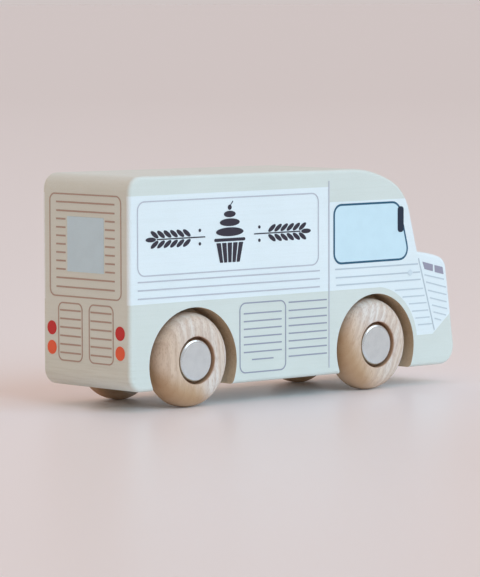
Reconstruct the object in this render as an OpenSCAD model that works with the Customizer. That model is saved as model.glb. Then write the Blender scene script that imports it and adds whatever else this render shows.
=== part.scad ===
// Wooden toy delivery van: a solid painted body on four turned wheels.
// Units are millimetres. +X is forward, +Y is left, +Z is up, and Z 0 is the ground.

/* [Body] */

// Length of the body from the flat back to the foot of the nose
body_length = 115.2; // [105:0.1:130]

// Width of the body across its flat sides
body_width = 33.5; // [30:0.1:40]

// Height of the body from its underside to the roof
body_height = 53.8; // [48:0.1:60]

// Radius worked along every side edge of the body
edge_round = 1; // [0.5:0.1:2.5]

// Radius of the corner between the back and the roof
back_top_radius = 4; // [2:0.1:8]

// Radius of the corner between the back and the underside
back_foot_radius = 4; // [2:0.1:6]

/* [Cab] */

// Distance from the back to the foot of the windscreen
screen_foot_x = 101.5; // [98:0.1:104]

// Height of the windscreen's foot above the underside
screen_foot_height = 30.6; // [27:0.1:34]

// Lean of the windscreen back from upright, in degrees
screen_lean = 15.3; // [8:0.1:22]

// Radius of the roof where it begins to fall to the cab
roof_radius = 31; // [24:0.5:40]

// Radius of the brow between the roof curve and the windscreen
brow_radius = 13.5; // [9:0.5:18]

// Slope at which the roof curve becomes the brow, in degrees
brow_start = 29; // [20:1:40]

/* [Nose] */

// Slope of the bonnet at the windscreen's foot, in degrees
bonnet_slope_back = 5; // [1:0.5:8]

// Slope of the bonnet where it reaches the nose corner, in degrees
bonnet_slope_front = 17; // [12:0.5:22]

// Radius of the corner between the bonnet and the nose
nose_corner_radius = 4; // [3:0.1:6]

// Lean of the nose back from upright, in degrees
nose_lean = 8.2; // [3:0.1:12]

// Radius of the corner between the nose and the underside
nose_foot_radius = 4.8; // [3:0.1:7]

/* [Wheels] */

// Diameter of a wheel
wheel_diameter = 24; // [20:0.1:26]

// Thickness of a wheel
wheel_thickness = 7.2; // [6.5:0.1:9]

// Radius worked on the outer edge of a wheel's rim
wheel_face_round = 4.2; // [2:0.1:4.5]

// Radius worked on the inner edge of a wheel's rim
wheel_back_round = 1.5; // [0.5:0.1:1.8]

// Distance a wheel's face stands out from the body's side
wheel_proud = 0.9; // [0.5:0.1:3]

// Distance from the back to the rear axle
rear_axle_x = 21.8; // [19:0.1:25]

// Distance between the axles
wheelbase = 63.7; // [58:0.1:66]

// Gap between the ground and the underside
ground_clearance = 5.1; // [3:0.1:7]

// Diameter of the recess in a wheel's outer face
recess_diameter = 12.1; // [11.4:0.1:14]

// Depth of the recess in a wheel's outer face
recess_depth = 2.6; // [1.5:0.1:3]

/* [Wheel arches] */

// Gap between a wheel's tread and its arch
arch_gap = 2.2; // [1.5:0.1:3]

// Distance the arch's centre is set below the axle
arch_drop = 0.8; // [0:0.1:1]

// Gap between a wheel's inner face and the arch's floor
arch_floor_gap = 0.9; // [0.5:0.1:2]

/* [Axles and caps] */

// Diameter of an axle
axle_diameter = 3; // [2:0.1:4]

// Radial running clearance between an axle and a wheel's bore
wheel_clearance = 0.08; // [0.02:0.01:0.1]

// Diameter of a hub cap
cap_diameter = 10.9; // [8:0.1:11.6]

// Height of a hub cap
cap_height = 2.1; // [1.8:0.1:3]

// Radius worked on the rim of a hub cap's face
cap_round = 0.9; // [0.4:0.1:1.2]

// Thickness of a hub cap's skin
cap_skin = 0.6; // [0.4:0.05:0.8]

// Thickness of the collar that grips the axle inside a hub cap
cap_collar = 1.2; // [0.8:0.1:2]

// Gap between a hub cap and the floor of the wheel's recess
cap_gap = 0.2; // [0.1:0.1:1]

/* [Hidden] */

wheel_radius = wheel_diameter / 2;
axle_radius = axle_diameter / 2;
arch_radius = wheel_radius + arch_gap;
arch_depth = wheel_thickness - wheel_proud + arch_floor_gap;
wheel_face_y = body_width / 2 + wheel_proud;
cap_seat_y = wheel_face_y - recess_depth + cap_gap;
axle_end_y = cap_seat_y + cap_height - cap_skin;
rear_x = rear_axle_x - body_length / 2;
front_x = rear_x + wheelbase;
arc_steps = 14;
edge_steps = 6;
overlap = 1;

// Centre of the roof curve, so that roof, brow and windscreen meet in tangents.
screen_angle = 90 - screen_lean;
radius_step = roof_radius - brow_radius;
screen_reach = screen_foot_x * sin(screen_angle) + screen_foot_height * cos(screen_angle);
roof_centre_z = body_height - roof_radius;
brow_centre_z = roof_centre_z + radius_step * cos(brow_start);
brow_centre_x = (screen_reach - brow_radius - brow_centre_z * cos(screen_angle)) / sin(screen_angle);
roof_centre_x = brow_centre_x - radius_step * sin(brow_start);

// Centre of the nose's foot, and the line of the nose above it.
foot_centre_x = body_length - nose_foot_radius;
foot_centre_z = nose_foot_radius;
nose_angle = 90 - nose_lean;
nose_reach = foot_centre_x * sin(nose_angle) + foot_centre_z * cos(nose_angle) + nose_foot_radius;

// The bonnet falls along one arc from the windscreen's foot to the nose corner.
corner_reach = nose_reach - nose_corner_radius;
bonnet_radius = bonnet_arc_radius();
bonnet_centre_x = screen_foot_x - bonnet_radius * sin(bonnet_slope_back);
bonnet_centre_z = screen_foot_height - bonnet_radius * cos(bonnet_slope_back);
corner_gap = bonnet_radius - nose_corner_radius;
corner_centre_x = bonnet_centre_x + corner_gap * sin(bonnet_slope_front);
corner_centre_z = bonnet_centre_z + corner_gap * cos(bonnet_slope_front);

// Radius of the bonnet's arc that leaves the nose corner touching the nose.
function bonnet_arc_radius() =
    let (
        run = sin(bonnet_slope_front) - sin(bonnet_slope_back),
        fall = cos(bonnet_slope_front) - cos(bonnet_slope_back),
        reach = corner_reach - screen_foot_x * sin(nose_angle) - screen_foot_height * cos(nose_angle),
        corner = nose_corner_radius * cos(nose_angle - bonnet_slope_front)
    )
    (reach + corner) / (run * sin(nose_angle) + fall * cos(nose_angle));

// Points of an arc, with angles counted from straight up towards the front.
function arc(x, z, radius, from, to) =
    [for (i = [0:arc_steps]) let (a = from + (to - from) * i / arc_steps) [x + radius * sin(a), z + radius * cos(a)]];

// Side outline of the box and cab, from the back to the windscreen's foot.
module cab_outline() {
    polygon(concat(
        arc(back_foot_radius, back_foot_radius, back_foot_radius, -180, -90),
        arc(back_top_radius, body_height - back_top_radius, back_top_radius, -90, 0),
        arc(roof_centre_x, roof_centre_z, roof_radius, 0, brow_start),
        arc(brow_centre_x, brow_centre_z, brow_radius, brow_start, screen_angle),
        [[screen_foot_x, screen_foot_height], [screen_foot_x, 0]]));
}

// Side outline of the nose, with its back end sunk inside the cab.
module nose_outline() {
    polygon(concat(
        [[screen_foot_x - 8, 0], [screen_foot_x - 8, screen_foot_height]],
        arc(bonnet_centre_x, bonnet_centre_z, bonnet_radius, bonnet_slope_back, bonnet_slope_front),
        arc(corner_centre_x, corner_centre_z, nose_corner_radius, bonnet_slope_front, nose_angle),
        arc(foot_centre_x, foot_centre_z, nose_foot_radius, nose_angle, 180)));
}

// A slab of the body's width with its side edges rounded over.
module rounded_slab() {
    hull() {
        for (i = [0:edge_steps]) {
            a = 90 * i / edge_steps;
            half = body_width / 2 - edge_round * (1 - sin(a));
            rotate([90, 0, 0])
                linear_extrude(height = 2 * half, center = true)
                    offset(delta = -edge_round * (1 - cos(a)))
                        children();
        }
    }
}

// A round wheel arch sunk into one side of the body.
module wheel_arch(x, side) {
    translate([x, side * (body_width / 2 - arch_depth), wheel_radius - arch_drop])
        rotate([-90 * side, 0, 0])
            cylinder(r = arch_radius, h = arch_depth + overlap, $fn = 64);
}

// The hole that holds one axle.
module axle_bore(x) {
    translate([x, 0, wheel_radius])
        rotate([90, 0, 0])
            cylinder(r = axle_radius, h = body_width, center = true, $fn = 32);
}

module body() {
    color([0.82, 0.87, 0.86])
        difference() {
            translate([-body_length / 2, 0, ground_clearance])
                union() {
                    rounded_slab() cab_outline();
                    rounded_slab() nose_outline();
                }
            for (x = [rear_x, front_x]) {
                axle_bore(x);
                for (side = [-1, 1])
                    wheel_arch(x, side);
            }
        }
}

module axle(x) {
    color([0.72, 0.73, 0.74])
        translate([x, 0, wheel_radius])
            rotate([90, 0, 0])
                cylinder(r = axle_radius, h = 2 * axle_end_y, center = true, $fn = 32);
}

// A quarter disc in the corner between two edges of a half section.
module quarter(radius) {
    intersection() {
        circle(r = radius, $fn = 64);
        square(radius);
    }
}

// Half section of a wheel: radius across, thickness up to the outer face.
module wheel_section() {
    bore = axle_radius + wheel_clearance;
    face = wheel_radius - wheel_face_round;
    back = wheel_radius - wheel_back_round;
    shoulder = wheel_thickness - wheel_face_round;
    difference() {
        union() {
            translate([bore, 0])
                square([back - bore, wheel_back_round]);
            translate([bore, wheel_back_round])
                square([wheel_radius - bore, shoulder - wheel_back_round]);
            translate([bore, shoulder])
                square([face - bore, wheel_face_round]);
            translate([back, wheel_back_round])
                mirror([0, 1])
                    quarter(wheel_back_round);
            translate([face, shoulder])
                quarter(wheel_face_round);
        }
        translate([0, wheel_thickness - recess_depth])
            square([recess_diameter / 2, recess_depth + overlap]);
    }
}

module wheel(x, side) {
    color([0.82, 0.66, 0.45])
        translate([x, side * (wheel_face_y - wheel_thickness), wheel_radius])
            rotate([-90 * side, 0, 0])
                rotate_extrude($fn = 96)
                    wheel_section();
}

// Half section of a hub cap: a thin cup with a collar on the axle.
module cap_section() {
    outer = cap_diameter / 2;
    difference() {
        union() {
            square([outer, cap_height - cap_round]);
            square([outer - cap_round, cap_height]);
            translate([outer - cap_round, cap_height - cap_round])
                circle(r = cap_round, $fn = 48);
        }
        translate([axle_radius + cap_collar, -overlap])
            square([outer - cap_skin - axle_radius - cap_collar, cap_height - cap_skin + overlap]);
        translate([0, -overlap])
            square([axle_radius, cap_height - cap_skin + overlap]);
    }
}

module cap(x, side) {
    color([0.9, 0.9, 0.92])
        translate([x, side * cap_seat_y, wheel_radius])
            rotate([-90 * side, 0, 0])
                rotate_extrude($fn = 96)
                    cap_section();
}

module rear_axle() { axle(rear_x); }
module front_axle() { axle(front_x); }
module wheel_rear_right() { wheel(rear_x, -1); }
module wheel_rear_left() { wheel(rear_x, 1); }
module wheel_front_right() { wheel(front_x, -1); }
module wheel_front_left() { wheel(front_x, 1); }
module cap_rear_right() { cap(rear_x, -1); }
module cap_rear_left() { cap(rear_x, 1); }
module cap_front_right() { cap(front_x, -1); }
module cap_front_left() { cap(front_x, 1); }

body();
rear_axle();
front_axle();
wheel_rear_right();
wheel_rear_left();
wheel_front_right();
wheel_front_left();
cap_rear_right();
cap_rear_left();
cap_front_right();
cap_front_left();
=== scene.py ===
"""Looks of the wooden toy van: paint, print, turned beech, metal and a plain stage."""

import math

import bmesh
import bpy
from bpy.props import FloatProperty, FloatVectorProperty, PointerProperty
from mathutils import Matrix, Vector


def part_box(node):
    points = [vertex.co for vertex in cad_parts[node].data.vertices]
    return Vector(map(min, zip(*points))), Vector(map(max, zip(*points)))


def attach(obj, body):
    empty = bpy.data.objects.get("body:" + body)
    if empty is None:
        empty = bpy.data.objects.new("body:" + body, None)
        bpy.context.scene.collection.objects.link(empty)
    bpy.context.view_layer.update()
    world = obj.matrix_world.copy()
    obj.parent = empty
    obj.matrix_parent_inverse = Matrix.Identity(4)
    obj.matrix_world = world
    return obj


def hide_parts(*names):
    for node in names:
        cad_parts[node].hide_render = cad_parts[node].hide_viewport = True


bl_info = {
    "name": "Wooden Toy Van",
    "version": (1, 0, 0),
    "blender": (4, 5, 0),
    "location": "View3D > Sidebar > Toy Van",
    "description": "Paints, prints and stages a wooden toy delivery van on its CAD frame",
    "category": "Object",
}

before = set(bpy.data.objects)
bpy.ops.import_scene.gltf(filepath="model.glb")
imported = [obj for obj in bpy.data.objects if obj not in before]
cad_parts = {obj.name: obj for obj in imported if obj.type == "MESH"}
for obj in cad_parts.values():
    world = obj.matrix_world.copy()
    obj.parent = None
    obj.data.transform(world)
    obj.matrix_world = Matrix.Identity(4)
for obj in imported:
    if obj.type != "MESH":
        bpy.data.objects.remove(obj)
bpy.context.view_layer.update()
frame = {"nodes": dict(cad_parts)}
block_low, block_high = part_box("body")
MM = 0.001
WIDTH = (block_high.y - block_low.y) / MM
# Heights on each print are counted from 58.5 mm below the roof, runs on the sides from the back.
PRINT_FOOT = block_high.z - 58.5 * MM
# Edges of the pale tone on the sides: joint of box and cab, waist, tops of box and cab.
CAB_START = 68.5
WAIST = 26.6
BOX_TOP = 53.65
CAB_TOP = 49.65
WHEELS = ("rear_right", "rear_left", "front_right", "front_left")


# Shader maths


def add_node(tree, kind, settings=None, links=None, out=0):
    """Adds a node, sets it up, feeds its sockets and gives one output as a Wire."""
    node = tree.nodes.new(kind)
    for name, value in (settings or {}).items():
        setattr(node, name, value)
    for key, value in (links or {}).items():
        feed(tree, node.inputs[key], value)
    return Wire(tree, node.outputs[out])


def feed(tree, socket, value):
    """Links a Wire to a socket, or sets the socket to a plain value."""
    if isinstance(value, Wire):
        tree.links.new(value.socket, socket)
    elif socket.type == "RGBA":
        socket.default_value = (*value, 1.0)
    else:
        socket.default_value = value


class Wire:
    """A node's output that takes part in Python expressions."""

    def __init__(self, tree, socket):
        self.tree = tree
        self.socket = socket

    def node(self, kind, settings=None, links=None, out=0):
        """Adds a node to this wire's tree."""
        return add_node(self.tree, kind, settings, links, out)

    def maths(self, operation, *values):
        """The result of one maths node."""
        return self.node("ShaderNodeMath", {"operation": operation}, dict(enumerate(values)))

    def __add__(self, other):
        return self.maths("ADD", self, other)

    __radd__ = __add__

    def __sub__(self, other):
        return self.maths("SUBTRACT", self, other)

    def __rsub__(self, other):
        return self.maths("SUBTRACT", other, self)

    def __mul__(self, other):
        return self.maths("MULTIPLY", self, other)

    __rmul__ = __mul__

    def __truediv__(self, other):
        return self.maths("DIVIDE", self, other)

    def __pow__(self, other):
        return self.maths("POWER", self, other)

    def __abs__(self):
        return self.maths("ABSOLUTE", self)

    def __gt__(self, other):
        return self.maths("GREATER_THAN", self, other)

    def __lt__(self, other):
        return self.maths("LESS_THAN", self, other)

    def __and__(self, other):
        return self.maths("MULTIPLY", self, other)

    def __or__(self, other):
        return self.maths("MAXIMUM", self, other)

    def fraction(self):
        """What is left after the whole number."""
        return self.maths("FRACT", self)

    def clamped(self):
        """This value, or 1 where it is more."""
        return self.maths("MINIMUM", self, 1.0)

    def fade(self, start, end):
        """0 at start and 1 at end, with a soft rise between them."""
        links = {"Value": self, "From Min": start, "From Max": end}
        return self.node("ShaderNodeMapRange", {"interpolation_type": "SMOOTHSTEP"}, links)

    def mix(self, first, second):
        """A colour between first and second, with this wire as the share of the second."""
        return self.node("ShaderNodeMix", {"data_type": "RGBA"}, {0: self, 6: first, 7: second}, 2)

    def tint(self, colour, factor):
        """The colour, multiplied by factor as far as this wire says."""
        settings = {"data_type": "RGBA", "blend_type": "MULTIPLY"}
        return self.node("ShaderNodeMix", settings, {0: self, 6: colour, 7: factor}, 2)

    def turned(self, turn):
        """These coordinates, turned about the origin."""
        return self.node("ShaderNodeMapping", None, {"Vector": self, "Rotation": turn})

    def stretched(self, scale):
        """These coordinates, scaled along each axis."""
        settings = {"operation": "MULTIPLY"}
        return self.node("ShaderNodeVectorMath", settings, {0: self, 1: scale})

    def axis(self, name):
        """One axis of these coordinates, X, Y or Z."""
        return self.node("ShaderNodeSeparateXYZ", None, {0: self}, name)

    def noise(self, scale=1.0, detail=2.0, roughness=0.5):
        """Makes the whole van on its stage."""
        links = {"Vector": self, "Scale": scale, "Detail": detail, "Roughness": roughness}
        return self.node("ShaderNodeTexNoise", None, links)

    def bump(self, strength, distance):
        """A normal that is raised by this wire, by a distance in millimetres."""
        links = {"Strength": strength, "Distance": distance * MM, "Height": self}
        return self.node("ShaderNodeBump", None, links)


class Finish:
    """A new material with a Principled shader and the piece's own coordinates."""

    def __init__(self, name, roughness=0.5, metallic=0.0, specular=0.5):
        self.material = bpy.data.materials.new(name)
        self.material.use_nodes = True
        self.tree = self.material.node_tree
        self.shader = self.tree.nodes["Principled BSDF"]
        self.set("Roughness", roughness)
        self.set("Metallic", metallic)
        self.set("Specular IOR Level", specular)

    def set(self, socket, value):
        """Feeds one socket of the shader."""
        feed(self.tree, self.shader.inputs[socket], value)

    def spot(self, centre=(0.0, 0.0, 0.0)):
        """The piece's coordinates in millimetres, counted from centre."""
        place = add_node(self.tree, "ShaderNodeTexCoord", None, None, "Object")
        moved = place.node("ShaderNodeVectorMath", {"operation": "SUBTRACT"}, {0: place, 1: centre})
        return moved.stretched((1.0 / MM,) * 3)


# Materials


def paint_finish(colours):
    """Satin paint in two tones over wood, split where the tone changes."""
    paint = Finish("satin_paint", specular=0.35)
    spot = paint.spot((block_low.x, 0.0, PRINT_FOOT))
    x, y, z = (spot.axis(name) for name in "XYZ")
    on_side = abs(y) > WIDTH / 2 - 1.0
    box = on_side & (x < CAB_START) & (z > WAIST) & (z < BOX_TOP)
    # The pale nose ends round the front arch, at a slanting chin and at the bonnet's edge.
    arch_x, arch_z, arch_edge = 85.5, 11.2, 15.5
    across = x - arch_x
    up = z - arch_z
    past_arch = (across * across + up * up) ** 0.5 > arch_edge
    chin = 13.3 + (x - 107.0) * 0.787
    nose = past_arch & (x > arch_x) & (z > 13.1) & (z > chin)
    bonnet = 34.75 - (x - 101.5) * 0.19
    ahead = (x > 95.0) & ((x < 101.4) | (z < bonnet))
    cab = (on_side | ahead) & (x > CAB_START) & (z < CAB_TOP) & ((z > WAIST) | nose)
    tone = (box | cab).mix(colours.paint, colours.white)
    cloud = spot.noise(0.07, 3.0).fade(0.3, 0.7)
    tone = cloud.tint(tone, (0.972, 0.975, 0.972))
    vein = spot.stretched((0.05, 0.06, 1.5)).noise(1.0, 3.0, 0.6).fade(0.42, 0.66)
    foot = (x < 2.0) & z.fade(18.0, 7.0)
    tone = (vein & (foot * 0.75 + 0.25)).tint(tone, (0.93, 0.925, 0.91))
    speck = spot.noise(3.1, 2.0).fade(0.45, 0.75)
    paint.set("Base Color", speck.tint(tone, (0.962, 0.966, 0.962)))
    peel = spot.noise(1.3, 3.0, 0.6)
    paint.set("Roughness", 0.42 + peel * 0.16)
    fibre = spot.stretched((0.06, 1.9, 1.9)).noise(1.0, 3.0, 0.6)
    paint.set("Normal", (fibre * 0.6 + peel * 0.4).bump(0.1, 0.12))
    return paint.material


def pocket_finish(colours):
    """Bare sawn wood inside the arches, with painted light that makes it lighter towards the foot.
    """
    wood = Finish("bare_pocket_wood", specular=0.25)
    spot = wood.spot()
    fibre = spot.stretched((0.12, 2.4, 2.4)).noise(1.0, 3.0, 0.6)
    tone = fibre.fade(0.3, 0.7).mix(colours.pocket, colours.pocket_deep)
    # Painted light: the arch walls get lighter towards their foot and stay darker above, as if in
    # shade.
    lit_foot = spot.axis("Z").fade(15.0, 6.0) * 0.45
    tone = lit_foot.mix(tone, colours.pocket_lit_foot)
    wood.set("Base Color", spot.noise(0.5, 3.0).fade(0.5, 0.8).tint(tone, (0.9, 0.88, 0.86)))
    wood.set("Roughness", 0.62 + fibre * 0.2)
    wood.set("Normal", fibre.bump(0.25, 0.2))
    return wood.material


def ink_finish(name, colour, gloss=0.5):
    """A thin screen-printed ink, a little uneven in tone and gloss."""
    ink = Finish(name, specular=0.35)
    spot = ink.spot()
    cloud = spot.noise(0.25, 3.0).fade(0.3, 0.7)
    grain = spot.noise(7.0, 2.0)
    tone = cloud.tint(tuple(colour), (0.965, 0.968, 0.97))
    ink.set("Base Color", grain.fade(0.5, 0.75).tint(tone, (0.95, 0.95, 0.955)))
    ink.set("Roughness", gloss + grain * 0.14)
    ink.set("Normal", grain.bump(0.06, 0.04))
    return ink.material


def beech_finish(name, hub, outward, grain_set, colours):
    """Bare beech with soft bands, fine rings, pores and flecks along the grain, a recess
    that darkens towards its floor, and painted shade towards one side of the wheel.

    grain_set holds the grain's lean in degrees, the rings' spacing in millimetres and the
    directions of the painted shade, a warm one and a deep one, in degrees from the front.
    """
    lean, pitch, warm_shade_side, deep_shade_side = grain_set
    wood = Finish(name, specular=0.3)
    spot = wood.spot(hub)
    x, y, z = (spot.axis(axis) for axis in "XYZ")
    radius = (x * x + z * z) ** 0.5

    def towards(degrees):
        """How far a spot lies in one direction across the wheel."""
        return x * math.cos(math.radians(degrees)) + z * math.sin(math.radians(degrees))

    grain = spot.turned((0.0, math.radians(lean), 0.0))
    band = grain.stretched((0.16, 0.16, 0.025)).noise(1.0, 2.0)
    wander = grain.stretched((0.14, 0.14, 0.04)).noise(1.0, 2.0)
    ring = (grain.axis("X") / pitch + grain.axis("Y") * 0.12 + wander * 2.2).fraction()
    late = ring.fade(0.3, 0.86) * (1.0 - ring.fade(0.9, 1.0))
    streak = grain.stretched((1.3, 1.3, 0.07)).noise(1.0, 3.0, 0.6)
    fleck = grain.stretched((2.3, 2.3, 0.45)).noise(1.0, 2.0, 0.55)
    pore = grain.stretched((6.0, 6.0, 0.8)).noise(1.0, 2.0, 0.6)
    tone = (band.fade(0.4, 0.75) * 0.55).mix(colours.beech, colours.beech_warm)
    # Painted shade: each wheel turns warmer and darker towards one side, broken by the grain's
    # bands.
    warm = (towards(warm_shade_side) + band * 7.0).fade(0.5, 9.5)
    tone = (warm * 0.85).mix(tone, colours.beech_warm)
    tone = (late * 0.3).mix(tone, colours.beech_deep)
    tone = (streak.fade(0.44, 0.68) * 0.4).mix(tone, colours.beech_warm)
    tone = (fleck.fade(0.52, 0.68) * 0.36).mix(tone, colours.beech_deep)
    tone = (pore.fade(0.53, 0.68) * 0.42).mix(tone, colours.beech_deep)
    # Painted shade: each wheel goes deep brown towards its lower, shaded side.
    deep_shade = (towards(deep_shade_side) + band * 5.0).fade(7.0, 12.0)
    tone = (deep_shade * 0.8).mix(tone, colours.beech_heart)
    end = abs(grain.axis("Z")).fade(7.5, 12.0) * radius.fade(9.5, 12.0)
    tone = (end * 0.4).mix(tone, colours.beech_warm)
    # The recess is darker brown than the face, and darkest towards its floor.
    sunk = radius.fade(6.5, 6.0) * (y * outward).fade(3.55, 3.1)
    recess_tone = (streak * 0.6 + (y * outward).fade(3.4, 1.2) * 0.6).mix(colours.recess_brown, colours.char)
    wood.set("Base Color", (sunk * 0.92).mix(tone, recess_tone))
    wood.set("Roughness", 0.5 + pore * 0.2)
    wood.set("Normal", (pore * 0.6 + streak * 0.4).bump(0.22, 0.14))
    return wood.material


def metal_finish(name, colour, gloss, fine):
    """Plated metal with a faint turned grain."""
    metal = Finish(name, metallic=1.0)
    spot = metal.spot()
    haze = spot.noise(0.5, 3.0)
    grain = spot.noise(fine, 2.0, 0.6)
    metal.set("Base Color", haze.fade(0.35, 0.7).tint(tuple(colour), (0.95, 0.955, 0.96)))
    metal.set("Roughness", gloss + grain * 0.1 + haze * 0.06)
    metal.set("Normal", grain.bump(0.03, 0.05))
    return metal.material


def floor_finish(settings):
    """A plain pale floor with a soft sheen, and painted shade that makes it a little deeper far
    away.
    """
    floor = Finish("pale_floor", roughness=0.35, specular=0.35)
    spot = floor.spot()
    x, y = spot.axis("X"), spot.axis("Y")
    deepest = 3000.0
    # Painted shade: the floor darkens with distance up to 3 m, towards the tint below.
    far = ((x * x + y * y) ** 0.5 / deepest) ** 0.5
    floor.set("Base Color", far.clamped().tint(tuple(settings.floor), (0.815, 0.79, 0.765)))
    return floor.material


# Modelling


def activate(piece):
    """Makes one piece the only selected one."""
    bpy.ops.object.select_all(action="DESELECT")
    piece.select_set(True)
    bpy.context.view_layer.objects.active = piece


def open_piece(piece):
    """Opens one piece for editing, by its vertices."""
    activate(piece)
    bpy.ops.object.mode_set(mode="EDIT")
    bpy.ops.mesh.select_mode(type="VERT")


def close_piece():
    """Ends the editing of the open piece and gives that piece."""
    bpy.ops.mesh.reveal(select=False)
    bpy.ops.object.mode_set(mode="OBJECT")
    return bpy.context.object


def new_piece(name):
    """Starts an empty mesh and opens it for drawing."""
    bpy.ops.object.select_all(action="DESELECT")
    bpy.ops.object.add(type="MESH")
    piece = bpy.context.object
    piece.name = piece.data.name = name
    open_piece(piece)
    return piece


def pick(test):
    """Selects the open mesh's vertices whose place passes a test."""
    bpy.ops.mesh.select_all(action="DESELECT")
    data = bpy.context.object.data
    mesh = bmesh.from_edit_mesh(data)
    found = [vertex for vertex in mesh.verts if not vertex.hide and test(vertex.co)]
    if not found:
        raise RuntimeError("No vertex of " + data.name + " passes the test")
    for vertex in found:
        vertex.select = True
    mesh.select_flush(True)
    bmesh.update_edit_mesh(data)


def weld(distance):
    """Joins the open mesh's vertices that lie within a distance in millimetres."""
    bpy.ops.mesh.select_all(action="SELECT")
    bpy.ops.mesh.remove_doubles(threshold=distance * MM)


def stand_alone():
    """Hides what is drawn already, so that the next shape can be worked on alone."""
    bpy.ops.mesh.select_all(action="SELECT")
    bpy.ops.mesh.hide(unselected=False)


def place_shape(half, turn, centre):
    """Sizes, turns and moves the shape that was just added at the origin."""
    origin = (0.0, 0.0, 0.0)
    bpy.ops.transform.resize(value=(half[0], half[1], 1.0), center_override=origin)
    if turn:
        # Here a positive value turns with the clock.
        bpy.ops.transform.rotate(value=-turn, orient_axis="Z", center_override=origin)
    bpy.ops.transform.translate(value=(centre[0] * MM, centre[1] * MM, 0.0))


def draw_bar(start, end, width, step=2.0):
    """Adds a straight bar of print, cut into short lengths."""
    run = Vector(end) - Vector(start)
    parts = max(1, round(run.length / step))
    bpy.ops.mesh.primitive_grid_add(x_subdivisions=parts, y_subdivisions=1, size=2.0 * MM)
    turn = math.atan2(run.y, run.x)
    place_shape((run.length / 2, width / 2), turn, (Vector(start) + Vector(end)) / 2)


def draw_oval(centre, half, turn=0.0, points=28):
    """Adds a filled oval of print."""
    bpy.ops.mesh.primitive_circle_add(vertices=points, radius=MM, fill_type="NGON")
    place_shape(half, turn, centre)


def draw_plate(corners, radius=0.0, rim=None, middle=None, cuts=0):
    """Adds a four-cornered plate. rim keeps only an edge band, middle only what it encloses.

    The corners run from the lower left one, against the clock. radius rounds all of them, or
    holds one radius for each.
    """
    places = [Vector((x * MM, y * MM, 0.0)) for x, y in corners]
    stand_alone()
    bpy.ops.mesh.primitive_plane_add(size=2.0)
    for start, place in zip(((-1, -1, 0), (1, -1, 0), (1, 1, 0), (-1, 1, 0)), places):
        pick(lambda spot: (spot - Vector(start)).length < 0.1)
        bpy.ops.transform.translate(value=place - Vector(start))
    radii = radius if isinstance(radius, tuple) else (radius,) * 4
    for place, size in zip(places, radii):
        if size:
            pick(lambda spot: (spot - place).length < 0.01 * MM)
            bpy.ops.mesh.bevel(offset=size * MM, segments=7, affect="VERTICES", profile=0.5)
    bpy.ops.mesh.select_all(action="SELECT")
    if rim or middle:
        bpy.ops.mesh.inset(thickness=(rim or middle) * MM, depth=0.0)
        if middle:
            bpy.ops.mesh.select_all(action="INVERT")
        bpy.ops.mesh.delete(type="FACE" if rim else "VERT")
    if cuts:
        bpy.ops.mesh.select_all(action="SELECT")
        bpy.ops.mesh.subdivide(number_cuts=cuts)
    bpy.ops.mesh.reveal(select=False)


def oblong(left, bottom, right, top):
    """The corners of an upright oblong."""
    return ((left, bottom), (right, bottom), (right, top), (left, top))


def apply_all(piece):
    """Applies a piece's modifiers and its place."""
    activate(piece)
    for modifier in list(piece.modifiers):
        bpy.ops.object.modifier_apply(modifier=modifier.name)
    bpy.ops.object.transform_apply(location=True, rotation=True, scale=True)


def lay_on(piece, face, material, layer=0):
    """Wraps a drawn sheet onto one face of the block as a thin layer of ink."""
    sizes = bpy.context.scene.toy_van_print
    reach = 20.0 * MM
    places = {
        "side": ((block_low.x, block_low.y - reach, PRINT_FOOT), (90.0, 0.0, 0.0)),
        "rear": ((block_low.x - reach, 0.0, PRINT_FOOT), (90.0, 0.0, -90.0)),
        "front": ((block_high.x + reach, 0.0, PRINT_FOOT), (90.0, 0.0, 90.0)),
    }
    piece.location, turn = places[face]
    piece.rotation_euler = [math.radians(angle) for angle in turn]
    wrap = piece.modifiers.new("wrap", "SHRINKWRAP")
    wrap.target = bpy.data.objects["van_block"]
    wrap.wrap_method = "PROJECT"
    wrap.use_project_z = True
    wrap.use_positive_direction = False
    wrap.use_negative_direction = True
    wrap.offset = sizes.gap + layer * (sizes.gap + sizes.thickness)
    film = piece.modifiers.new("film", "SOLIDIFY")
    film.thickness = sizes.thickness
    film.offset = 1.0
    apply_all(piece)
    piece.data.materials.clear()
    piece.data.materials.append(material)
    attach(piece, "van")


def copy_to_left(piece):
    """Copies a right-hand print to the left side, as its mirror image."""
    activate(piece)
    bpy.ops.object.duplicate(linked=False)
    twin = bpy.context.object
    twin.name = twin.data.name = piece.name.replace("right", "left")
    twin.parent = None
    twin.scale.y = -1.0
    bpy.ops.object.transform_apply(location=True, rotation=True, scale=True)
    open_piece(twin)
    bpy.ops.mesh.select_all(action="SELECT")
    bpy.ops.mesh.normals_make_consistent(inside=False)
    close_piece()
    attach(twin, "van")


# Settings


def colour(name, description, default):
    """A colour that a user can change."""
    return FloatVectorProperty(
        name=name, description=description, default=default, subtype="COLOR", size=3, min=0, max=1
    )


def length(name, description, default):
    """A length that a user can change, with its default in millimetres."""
    return FloatProperty(
        name=name, description=description, default=default * MM, unit="LENGTH", precision=5
    )


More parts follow.
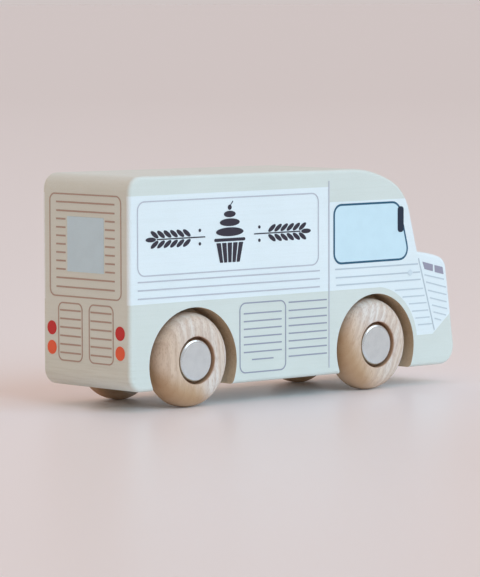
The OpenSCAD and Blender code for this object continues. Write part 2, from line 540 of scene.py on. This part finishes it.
class ToyVanColours(bpy.types.PropertyGroup):
    """Colours of paint, inks, wood and metal."""

    paint: colour("Paint", "Grey-green of roof, rear and lower sides", (0.71, 0.745, 0.70))
    white: colour("White", "Pale tone of the upper sides and nose", (0.818, 0.875, 0.895))
    pane: colour("Panes", "Printed glass", (0.64, 0.81, 0.877))
    rear_pane: colour("Rear pane", "Printed glass of the rear door", (0.59, 0.765, 0.88))
    line: colour("Box lines", "Pressed lines on the box", (0.534, 0.535, 0.585))
    door_line: colour("Door lines", "Lines of the side door", (0.337, 0.346, 0.42))
    cab_line: colour("Cab lines", "Pressed lines on the cab", (0.537, 0.59, 0.635))
    nose_line: colour("Nose lines", "Pressed lines on the nose", (0.588, 0.645, 0.685))
    rear_line: colour("Rear lines", "Pressed lines on the rear", (0.47, 0.34, 0.29))
    outline: colour("Window outline", "Edge of the printed windows", (0.025, 0.105, 0.175))
    mirror: colour("Mirror", "Printed door mirror", (0.014, 0.025, 0.048))
    handle: colour("Handle", "Printed door handle", (0.68, 0.75, 0.79))
    vent: colour("Vents", "Nose vents", (0.345, 0.325, 0.40))
    art: colour("Panel picture", "Picture on the side panel", (0.035, 0.03, 0.045))
    lamp_red: colour("Red lamps", "Upper rear lamps", (0.60, 0.03, 0.03))
    lamp_amber: colour("Orange lamps", "Lower rear lamps", (0.86, 0.13, 0.055))
    headlamp: colour("Headlamps", "Printed front lamps", (0.80, 0.84, 0.85))
    beech: colour("Beech", "Wheel wood", (0.80, 0.735, 0.685))
    # Also the colour of the painted warm shade on one side of each wheel.
    beech_warm: colour("Warm beech", "Warmer streaks of the wheel wood", (0.69, 0.50, 0.36))
    beech_deep: colour("Deep beech", "Late rings and pores", (0.43, 0.26, 0.18))
    # Painted shade: the deep brown towards the lower side of each wheel, where it lies in shade.
    beech_heart: colour("Heart of the beech", "Deeper side of a wheel", (0.47, 0.275, 0.14))
    # The recess's browns: darker inside it, darkest towards its floor.
    recess_brown: colour("Scorched beech", "Recess of the wheels", (0.60, 0.36, 0.21))
    char: colour("Charred beech", "Depth of the wheels' recess", (0.33, 0.155, 0.08))
    pocket: colour("Pocket wood", "Inside of the arches", (0.55, 0.415, 0.28))
    pocket_deep: colour("Deep pocket wood", "Fibres inside the arches", (0.437, 0.315, 0.204))
    # Painted light on the lower arch walls, lighter towards their foot.
    pocket_lit_foot: colour("Pocket dust", "Paint dust at the foot of the arches", (0.76, 0.65, 0.5))
    chrome: colour("Chrome", "Hub caps", (0.69, 0.78, 0.81))
    steel: colour("Steel", "Axles", (0.52, 0.52, 0.53))


class ToyVanPrint(bpy.types.PropertyGroup):
    """Sizes of the printed film."""

    thickness: length("Film thickness", "Thickness of a printed film", 0.04)
    gap: length("Film seat", "Height of a film's foot above the paint", 0.03)
    fine: length("Fine line", "Width of a pressed line", 0.34)
    frame: length("Frame line", "Width of a frame's line", 0.32)
    outline: length("Window outline", "Width of a window's outline", 0.55)


class ToyVanStage(bpy.types.PropertyGroup):
    """Floor, lights and surroundings."""

    floor: colour("Floor", "Floor colour", (0.89, 0.84, 0.838))
    backdrop: colour("Backdrop", "Colour behind the floor", (0.62, 0.56, 0.55))
    ambient: colour("Ambient", "Light from all round", (0.628, 0.478, 0.335))
    key: colour("Key", "Light from the right", (0.272, 0.53, 0.722))
    fill: colour("Fill", "Light from the left", (0.36, 0.43, 0.50))
    top: colour("Top", "Light from above", (0.083, 0.05, 0.092))
    gleam: colour("Gleam", "Light that only shows in reflections", (0.25, 0.26, 0.275))


# Operators


class TOYVAN_OT_block(bpy.types.Operator):
    """Makes the painted block with its bare arch pockets"""

    bl_idname = "toy_van.block"
    bl_label = "Block"

    # The arches, in millimetres: radius, drop below the hub, and reach of their bare faces.
    ARCH_RADIUS = 14.2
    ARCH_DROP = 0.8
    POCKET_REACH = 15.8
    # How much longer the back half of a rear arch gets, as a factor.
    ARCH_STRETCH = 1.08
    # Where the roof falls, in millimetres: from, to, how deep down, by how much, how softly.
    ROOF_START = 62.0
    ROOF_END = 84.0
    ROOF_DEPTH = 3.0
    ROOF_FALL = 0.5
    ROOF_EASE = 18.0

    def execute(self, context):
        colours = context.scene.toy_van_colours
        data = frame["nodes"]["body"].data.copy()
        block = bpy.data.objects.new("van_block", data)
        context.scene.collection.objects.link(block)
        activate(block)
        bpy.ops.mesh.customdata_custom_splitnormals_clear()
        open_piece(block)
        weld(0.002)
        bpy.ops.mesh.dissolve_limited(angle_limit=math.radians(0.4))
        self.widen_rear_arches()
        self.settle_roof()
        data.materials.clear()
        data.materials.append(paint_finish(colours))
        data.materials.append(pocket_finish(colours))
        self.mark_pockets(data)
        close_piece()
        bpy.ops.object.shade_smooth_by_angle(angle=math.radians(38.0))
        even = block.modifiers.new("even", "WEIGHTED_NORMAL")
        even.keep_sharp = True
        apply_all(block)
        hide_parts("body")
        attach(block, "van")
        return {"FINISHED"}

    def widen_rear_arches(self):
        """Draws the rear arches out a little towards the back, where they clear the wheels."""
        hub = sum(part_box("wheel_rear_right"), Vector()) / 2
        centre = Vector((hub.x, 0.0, hub.z - self.ARCH_DROP * MM))

        def on_back(place):
            """Whether a place lies on the back half of a rear arch."""
            radius = math.hypot(place.x - centre.x, place.z - centre.z)
            return place.x < centre.x and abs(radius - self.ARCH_RADIUS * MM) < 0.1 * MM

        pick(on_back)
        bpy.ops.transform.resize(value=(self.ARCH_STRETCH, 1.0, 1.0), center_override=centre)

    def settle_roof(self):
        """Lets the roof fall a little from the back to the cab."""
        start, end = (block_low.x + run * MM for run in (self.ROOF_START, self.ROOF_END))
        foot = block_high.z - self.ROOF_DEPTH * MM
        pick(lambda place: start < place.x < end and place.z > foot)
        bpy.ops.transform.translate(
            value=(0.0, 0.0, -self.ROOF_FALL * MM),
            use_proportional_edit=True,
            proportional_edit_falloff="SMOOTH",
            proportional_size=self.ROOF_EASE * MM,
        )

    def mark_pockets(self, data):
        """Gives the faces inside the arches the bare finish."""
        mesh = bmesh.from_edit_mesh(data)
        hubs = [sum(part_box("wheel_" + wheel), Vector()) / 2 for wheel in WHEELS]
        for face in mesh.faces:
            spot = face.calc_center_median()
            sunk = abs(spot.y) < (WIDTH / 2 - 0.2) * MM
            above = spot.z > block_low.z + 0.1 * MM
            near = min(math.hypot(spot.x - hub.x, spot.z - hub.z) for hub in hubs)
            face.material_index = int(sunk and above and near < self.POCKET_REACH * MM)
        bmesh.update_edit_mesh(data)


class TOYVAN_OT_side_print(bpy.types.Operator):
    """Prints the pressed lines, frames, vents and cab window on both sides"""

    bl_idname = "toy_van.side_print"
    bl_label = "Side print"

    def execute(self, context):
        colours = context.scene.toy_van_colours
        self.sizes = context.scene.toy_van_print
        prints = (
            (self.box_lines(), ink_finish("line_ink", colours.line), 0),
            (self.door_lines(), ink_finish("door_line_ink", colours.door_line), 0),
            (self.cab_lines(), ink_finish("cab_line_ink", colours.cab_line), 0),
            (self.nose_lines(), ink_finish("nose_line_ink", colours.nose_line), 0),
            (self.window("middle"), ink_finish("pane_ink", colours.pane, 0.36), 0),
            (self.window("rim"), ink_finish("outline_ink", colours.outline), 0),
            (self.mirror(), ink_finish("mirror_ink", colours.mirror), 1),
            (self.handle(), ink_finish("handle_ink", colours.handle), 1),
            (self.vents(), ink_finish("vent_ink", colours.vent), 0),
        )
        for piece, ink, layer in prints:
            lay_on(piece, "side", ink, layer)
            copy_to_left(piece)
        return {"FINISHED"}

    def box_lines(self):
        """The panel's frame, the lines below it and the joint between box and cab."""
        new_piece("box_lines_right")
        draw_plate(oblong(2.6, 33.5, 64.9, 52.33), 2.4, rim=self.sizes.frame / MM)
        for z in (32.07, 30.0, 27.9):
            draw_bar((2.73, z + 0.1), (65.2, z), self.sizes.fine / MM)
        draw_bar((68.53, 6.63), (68.53, 55.2), 0.42)
        return close_piece()

    def door_lines(self):
        """The side door's frame and lines, and the lines between it and the cab."""
        fine = self.sizes.fine / MM
        new_piece("door_lines_right")
        draw_plate(oblong(36.95, 7.1, 53.2, 25.22), 2.0, rim=self.sizes.frame / MM)
        for z in (22.36, 20.36, 18.4, 16.4, 14.44, 12.45):
            draw_bar((38.44, z), (51.66, z), fine)
        draw_bar((41.26, 10.5), (48.74, 10.5), fine)
        for z in (24.45, 22.32, 20.32, 18.4, 16.42, 14.46, 12.5, 10.5):
            draw_bar((54.13, z), (67.71, z), fine)
        return close_piece()

    def cab_lines(self):
        """The lines below the cab's window and the edge between cab and nose."""
        fine = self.sizes.fine / MM
        new_piece("cab_lines_right")
        for x0, x1, z in (
            (70.76, 101.28, 32.07),
            (70.94, 102.04, 29.88),
            (71.13, 102.24, 27.91),
        ):
            draw_bar((x0, z), (x1, z), fine)
        draw_bar((101.47, 33.57), (107.49, 14.1), fine, 0.5)
        return close_piece()

    def nose_lines(self):
        """The short lines before and behind the edge between cab and nose."""
        fine = self.sizes.fine / MM
        new_piece("nose_lines_right")
        for x0, x1, z in (
            (92.72, 103.18, 25.47),
            (95.51, 103.76, 23.54),
            (97.94, 104.52, 21.6),
            (99.07, 105.09, 19.58),
            (100.39, 105.66, 17.68),
            (101.34, 106.62, 15.84),
        ):
            draw_bar((x0, z), (x1, z), fine)
        for start, end in (
            ((103.74, 29.05), (111.12, 27.47)),
            ((104.31, 27.1), (111.9, 25.31)),
            ((105.07, 24.84), (112.09, 23.3)),
            ((105.83, 22.8), (112.1, 21.38)),
            ((106.6, 20.83), (112.3, 19.52)),
            ((107.17, 18.94), (111.93, 17.81)),
            ((107.56, 17.2), (110.03, 16.59)),
        ):
            draw_bar(start, end, fine, 0.4)
        return close_piece()

    def window(self, part):
        """The cab's side window: its outline, or the pane within."""
        new_piece("window_outline_right" if part == "rim" else "window_pane_right")
        corners = ((70.12, 33.28), (98.4, 33.35), (94.3, 49.07), (70.12, 49.07))
        draw_plate(corners, (2.9, 4.2, 2.6, 2.8), **{part: self.sizes.outline / MM})
        return close_piece()

    @staticmethod
    def mirror():
        """The upright door mirror at the window's front edge."""
        new_piece("door_mirror_right")
        draw_plate(oblong(93.6, 40.82, 95.79, 47.62), 0.85)
        return close_piece()

    @staticmethod
    def handle():
        """The small lozenge of the door's handle."""
        new_piece("door_handle_right")
        draw_plate(((97.2, 29.9), (98.3, 28.95), (99.4, 29.9), (98.3, 30.85)), 0.25)
        return close_piece()

    @staticmethod
    def vents():
        """The two vents at the top of the nose."""
        new_piece("nose_vents_right")
        for corners in (
            ((103.73, 30.58), (106.87, 29.83), (106.86, 31.63), (102.97, 32.57)),
            ((107.62, 29.58), (110.93, 28.82), (110.54, 30.78), (107.5, 31.46)),
        ):
            draw_plate(corners, cuts=7)
        return close_piece()


class TOYVAN_OT_panel_picture(bpy.types.Operator):
    """Prints a small cake between two ears of wheat on both side panels"""

    bl_idname = "toy_van.panel_picture"
    bl_label = "Panel picture"

    # The panel's middle along the side, in millimetres.
    MIDDLE = 33.7

    def execute(self, context):
        colours = context.scene.toy_van_colours
        piece = new_piece("panel_picture_right")
        self.cake(self.MIDDLE, 42.97)
        for side in (-1, 1):
            self.wheat(self.MIDDLE, 42.6, side)
        close_piece()
        lay_on(piece, "side", ink_finish("picture_ink", colours.art))
        copy_to_left(piece)
        return {"FINISHED"}

    @staticmethod
    def cake(x, z):
        """A pleated case, three rolls of icing and a cherry."""
        foot, brim = z - 7.2, z - 2.2
        for pleat in range(5):
            low, high = (pleat - 2) * 1.42, (pleat - 2) * 1.92
            draw_plate(
                (
                    (x + low - 0.54, foot),
                    (x + low + 0.54, foot),
                    (x + high + 0.76, brim),
                    (x + high - 0.76, brim),
                ),
                0.16,
            )
        draw_plate(oblong(x - 5.3, z - 1.85, x + 5.3, z - 1.05), 0.36)
        for height, half in ((0.55, (4.7, 1.12)), (2.95, (3.4, 0.98)), (5.05, (2.0, 0.82))):
            draw_oval((x, z + height), half, points=40)
        draw_oval((x, z + 6.75), (0.66, 0.66))
        draw_bar((x + 0.28, z + 7.35), (x + 1.1, z + 8.3), 0.26)

    @staticmethod
    def wheat(x, z, side):
        """An ear of wheat that lies beside the cake."""

        def spot(run, rise):
            """A place that lies out from the cake's middle."""
            return (x + side * run, z + rise)

        draw_bar(spot(8.4, 0.0), spot(24.6, 0.0), 0.3)
        for pair in range(6):
            run = 13.4 + pair * 2.15
            for up in (-1, 1):
                lean = up * side * math.radians(34.0)
                draw_oval(spot(run + 1.2, up * 1.25), (1.5, 0.58), lean, 20)
        draw_oval(spot(26.6, 0.0), (1.7, 0.6), 0.0, 20)
        for rise in (1.7, -1.7):
            draw_oval(spot(10.2, rise), (0.42, 0.42), 0.0, 18)


class TOYVAN_OT_rear_print(bpy.types.Operator):
    """Prints the door frames, lines, pane and lamps on the rear"""

    bl_idname = "toy_van.rear_print"
    bl_label = "Rear print"

    def execute(self, context):
        colours = context.scene.toy_van_colours
        sizes = context.scene.toy_van_print
        lay_on(self.lines(sizes), "rear", ink_finish("rear_line_ink", colours.rear_line))
        pane = new_piece("rear_pane")
        draw_plate(oblong(-6.97, 34.0, 7.12, 47.92))
        close_piece()
        lay_on(pane, "rear", ink_finish("rear_pane_ink", colours.rear_pane, 0.36))
        for name, z, tone in (
            ("red_lamps", 19.41, colours.lamp_red),
            ("orange_lamps", 14.44, colours.lamp_amber),
        ):
            lamps = new_piece(name)
            for side in (-1, 1):
                draw_oval((side * 13.2, z), (1.79, 1.79), points=40)
            close_piece()
            lay_on(lamps, "rear", ink_finish(name + "_ink", tone, 0.4))
        return {"FINISHED"}

    @staticmethod
    def lines(sizes):
        """The frames of the large and the small doors, with the lines in them."""
        fine = 1.2 * sizes.fine / MM
        frame_line = 1.1 * sizes.frame / MM
        new_piece("rear_lines")
        draw_plate(oblong(-13.95, 27.5, 13.85, 53.67), 2.0, rim=frame_line)
        for side in (-1, 1):
            edges = sorted((side * 1.2, side * 10.75))
            draw_plate(oblong(edges[0], 11.2, edges[1], 26.13), 1.8, rim=frame_line)
            for row in range(6):
                z = 24.09 - row * 2.156
                draw_bar((side * 1.9, z), (side * 9.95, z), fine)
            for row in range(7):
                z = 47.15 - row * 2.117
                draw_bar((side * 7.65, z), (side * 11.35, z), fine)
        for z in (51.44, 49.24, 32.28, 30.0):
            draw_bar((-11.3, z), (11.3, z), fine)
        return close_piece()


class TOYVAN_OT_front_print(bpy.types.Operator):
    """Prints the windscreen, lamps and grille lines on the front"""

    bl_idname = "toy_van.front_print"
    bl_label = "Front print"

    def execute(self, context):
        colours = context.scene.toy_van_colours
        self.sizes = context.scene.toy_van_print
        inks = bpy.data.materials
        lay_on(self.screen("middle"), "front", inks["pane_ink"])
        lay_on(self.screen("rim"), "front", inks["outline_ink"])
        lay_on(self.lines(), "front", inks["line_ink"])
        lay_on(self.lamps(False), "front", ink_finish("headlamp_ink", colours.headlamp, 0.36))
        lay_on(self.lamps(True), "front", inks["outline_ink"])
        return {"FINISHED"}

    def screen(self, part):
        """Both windscreen panes: their outlines, or the panes within."""
        new_piece("screen_outline" if part == "rim" else "screen_panes")
        for side in (-1, 1):
            edges = sorted((side * 0.55, side * 13.5))
            corners = oblong(edges[0], 37.3, edges[1], 47.6)
            draw_plate(corners, 1.9, **{part: self.sizes.outline / MM})
        return close_piece()

    def lines(self):
        """The grille's lines and the edge of the bumper."""
        new_piece("grille_lines")
        for row in range(6):
            z = 28.2 - row * 2.05
            draw_bar((-7.2, z), (7.2, z), self.sizes.fine / MM)
        draw_bar((-13.2, 14.6), (13.2, 14.6), self.sizes.fine / MM)
        return close_piece()

    @staticmethod
    def lamps(ring):
        """Both front lamps, or the rings round them."""
        new_piece("headlamp_rings" if ring else "headlamps")
        for side in (-1, 1):
            stand_alone()
            draw_oval((side * 11.1, 22.6), (2.7, 2.7), points=40)
            bpy.ops.mesh.inset(thickness=0.4 * MM, depth=0.0)
            if not ring:
                bpy.ops.mesh.select_all(action="INVERT")
            bpy.ops.mesh.delete(type="FACE" if ring else "VERT")
            bpy.ops.mesh.reveal(select=False)
        return close_piece()


class TOYVAN_OT_wheels(bpy.types.Operator):
    """Turns one beech wheel and fits four copies of it"""

    bl_idname = "toy_van.wheels"
    bl_label = "Wheels"

    # Facets round a wheel.
    STEPS = 120
    # Lean and ring spacing of each wheel's grain, and the directions of its warm and its deep
    # painted shade.
    GRAIN = {
        "rear_right": (4.0, 2.6, 200.0, 244.0),
        "rear_left": (67.0, 1.7, 20.0, 236.0),
        "front_right": (-24.0, 2.3, 205.0, 205.0),
        "front_left": (118.0, 2.1, 320.0, 242.0),
    }

    def execute(self, context):
        colours = context.scene.toy_van_colours
        blank = self.turn_blank()
        for wheel in WHEELS:
            low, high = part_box("wheel_" + wheel)
            hub = (low + high) / 2
            right = wheel.endswith("right")
            activate(blank)
            bpy.ops.object.duplicate(linked=False)
            piece = context.object
            piece.name = piece.data.name = "beech_wheel_" + wheel
            piece.rotation_euler.z = 0.0 if right else math.pi
            piece.location = hub
            apply_all(piece)
            outward = -1.0 if right else 1.0
            wood = beech_finish("beech_" + wheel, hub, outward, self.GRAIN[wheel], colours)
            piece.data.materials.append(wood)
            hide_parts("wheel_" + wheel)
            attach(piece, wheel)
        bpy.data.objects.remove(blank)
        return {"FINISHED"}

    @staticmethod
    def profile():
        """(radius, height) in millimetres round the section, from the bore's outer end."""

        def arc(radius, height, size, start, end, parts):
            """Points on an arc about (radius, height), from one angle to another."""
            for part in range(parts + 1):
                angle = math.radians(start + (end - start) * part / parts)
                yield radius + size * math.cos(angle), height + size * math.sin(angle)

        low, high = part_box("wheel_rear_right")
        thick = (high.y - low.y) / MM
        rim = (high.z - low.z) / MM / 2
        face_round, back_round, recess, depth, lip, bore = 4.2, 1.5, 6.05, 2.6, 0.35, 1.58
        points = [(bore, thick - depth), (recess, thick - depth)]
        points += arc(recess + lip, thick - lip, lip, 180.0, 90.0, 5)
        points += arc(rim - face_round, thick - face_round, face_round, 90.0, 0.0, 16)
        points += arc(rim - back_round, back_round, back_round, 0.0, -90.0, 8)
        points += [(bore, 0.0)]
        return [(radius, thick / 2 - height) for radius, height in points]

    def turn_blank(self):
        """A wheel at the origin, with its face towards -Y, spun from its section."""
        blank = new_piece("wheel_blank")
        points = self.profile()
        bpy.ops.mesh.primitive_plane_add(size=MM)
        bpy.ops.mesh.merge(type="CENTER")
        place = Vector((0.0, 0.0, 0.0))
        for number, (radius, height) in enumerate(points + points[:1]):
            spot = Vector((radius, height, 0.0)) * MM
            move = {"value": spot - place}
            if number:
                bpy.ops.mesh.extrude_region_move(TRANSFORM_OT_translate=move)
            else:
                bpy.ops.transform.translate(**move)
            place = spot
        weld(0.001)
        bpy.ops.mesh.select_all(action="SELECT")
        bpy.ops.mesh.spin(
            steps=self.STEPS, angle=math.tau, center=(0.0, 0.0, 0.0), axis=(0.0, 1.0, 0.0)
        )
        weld(0.001)
        bpy.ops.mesh.normals_make_consistent(inside=False)
        close_piece()
        bpy.ops.object.shade_smooth_by_angle(angle=math.radians(40.0))
        return blank


class TOYVAN_OT_metal(bpy.types.Operator):
    """Gives the hub caps and axles their metal finish"""

    bl_idname = "toy_van.metal"
    bl_label = "Metal"

    def execute(self, context):
        colours = context.scene.toy_van_colours
        chrome = metal_finish("cap_chrome", colours.chrome, 0.16, 6.0)
        steel = metal_finish("axle_steel", colours.steel, 0.3, 4.0)
        for name, node in frame["nodes"].items():
            if name.startswith(("cap_", "rear_axle", "front_axle")):
                metal = chrome if name.startswith("cap_") else steel
                for slot in node.material_slots:
                    slot.link = "OBJECT"
                    slot.material = metal
        return {"FINISHED"}


class TOYVAN_OT_stage(bpy.types.Operator):
    """Sets up floor, soft lights, surroundings and camera"""

    bl_idname = "toy_van.stage"
    bl_label = "Stage"

    def execute(self, context):
        settings = context.scene.toy_van_stage
        context.scene.view_settings.view_transform = "Standard"
        self.floor(settings)
        broad = (
            self.light("key_light", settings.key, (0.15, -0.87, 0.46), 70.0),
            self.light("fill_light", settings.fill, (0.25, 0.97, 0.04), 36.0),
            self.light("top_light", settings.top, (0.0, 0.0, 1.0), 40.0),
        )
        for lamp in broad:
            lamp.visible_glossy = False
        gleam = self.light("gleam_light", settings.gleam, (0.34, -0.66, 0.67), 50.0)
        gleam.visible_diffuse = False
        self.surroundings(context.scene, settings)
        self.camera(context.scene)
        return {"FINISHED"}

    @staticmethod
    def floor(settings):
        """A wide round floor at the wheels' foot."""
        bpy.ops.object.select_all(action="DESELECT")
        bpy.ops.mesh.primitive_circle_add(vertices=128, radius=80.0, fill_type="TRIFAN")
        floor = bpy.context.object
        floor.name = "floor"
        floor.data.materials.append(floor_finish(settings))

    @staticmethod
    def light(name, tone, towards, spread):
        """A wide soft lamp of one brightness over the whole stage."""
        turn = Vector(towards).to_track_quat("Z", "Y").to_euler()
        bpy.ops.object.light_add(type="SUN", rotation=turn)
        lamp = bpy.context.object
        lamp.name = name
        brightest = max(tone)
        lamp.data.energy = brightest * math.pi
        lamp.data.color = [share / brightest for share in tone]
        lamp.data.angle = math.radians(spread)
        return lamp

    @staticmethod
    def surroundings(scene, settings):
        """Even light from all round, with the plain backdrop for what sees it directly."""
        world = bpy.data.worlds.new("surroundings")
        world.use_nodes = True
        scene.world = world
        tree = world.node_tree
        tree.nodes.clear()
        path = [
            add_node(tree, "ShaderNodeLightPath", None, None, name)
            for name in ("Is Camera Ray", "Is Glossy Ray", "Is Transmission Ray")
        ]
        seen = path[0] | path[1] | path[2]
        tone = seen.mix(tuple(settings.ambient), tuple(settings.backdrop))
        light = add_node(tree, "ShaderNodeBackground", None, {"Color": tone, "Strength": 1.0})
        output = tree.nodes.new("ShaderNodeOutputWorld")
        tree.links.new(light.socket, output.inputs["Surface"])

    @staticmethod
    def camera(scene):
        """A long lens that sees the van's right side and rear, from a little above."""
        right = Vector((0.736765, -0.676144, -0.002754))
        up = Vector((0.053050, 0.053740, 0.997140))
        back = Vector((-0.674065, -0.734807, 0.075467))
        turn = Matrix((right, up, back)).transposed()
        bpy.ops.object.camera_add(
            location=(-0.674341, -0.729599, 0.102523), rotation=turn.to_euler()
        )
        camera = bpy.context.object
        camera.data.sensor_width = 36.0
        camera.data.lens = 238.18
        camera.data.clip_start = 0.01
        camera.data.clip_end = 500.0
        scene.camera = camera


class TOYVAN_PT_panel(bpy.types.Panel):
    """Lists the pieces of the toy van"""

    bl_idname = "TOYVAN_PT_panel"
    bl_label = "Toy Van"
    bl_space_type = "VIEW_3D"
    bl_region_type = "UI"
    bl_category = "Toy Van"

    def draw(self, context):
        for operator in OPERATORS:
            self.layout.operator(operator.bl_idname)
        for name in SETTINGS:
            group = getattr(context.scene, name)
            box = self.layout.box()
            for setting in group.__annotations__:
                box.prop(group, setting)


SETTINGS = {
    "toy_van_colours": ToyVanColours,
    "toy_van_print": ToyVanPrint,
    "toy_van_stage": ToyVanStage,
}
OPERATORS = (
    TOYVAN_OT_block,
    TOYVAN_OT_side_print,
    TOYVAN_OT_panel_picture,
    TOYVAN_OT_rear_print,
    TOYVAN_OT_front_print,
    TOYVAN_OT_wheels,
    TOYVAN_OT_metal,
    TOYVAN_OT_stage,
)


def register():
    """Registers the classes and gives every scene its settings."""
    for kind in (*SETTINGS.values(), *OPERATORS, TOYVAN_PT_panel):
        bpy.utils.register_class(kind)
    for name, kind in SETTINGS.items():
        setattr(bpy.types.Scene, name, PointerProperty(type=kind))


def unregister():
    """Takes the settings and the classes away again."""
    for name in SETTINGS:
        delattr(bpy.types.Scene, name)
    for kind in (TOYVAN_PT_panel, *reversed(OPERATORS), *reversed(SETTINGS.values())):
        bpy.utils.unregister_class(kind)


def main():
    """Makes the whole van on its stage and notes the sizes before and after."""
    register()
    bpy.ops.toy_van.block()
    bpy.ops.toy_van.side_print()
    bpy.ops.toy_van.panel_picture()
    bpy.ops.toy_van.rear_print()
    bpy.ops.toy_van.front_print()
    bpy.ops.toy_van.wheels()
    bpy.ops.toy_van.metal()
    bpy.ops.toy_van.stage()


if __name__ == "__main__":
    main()
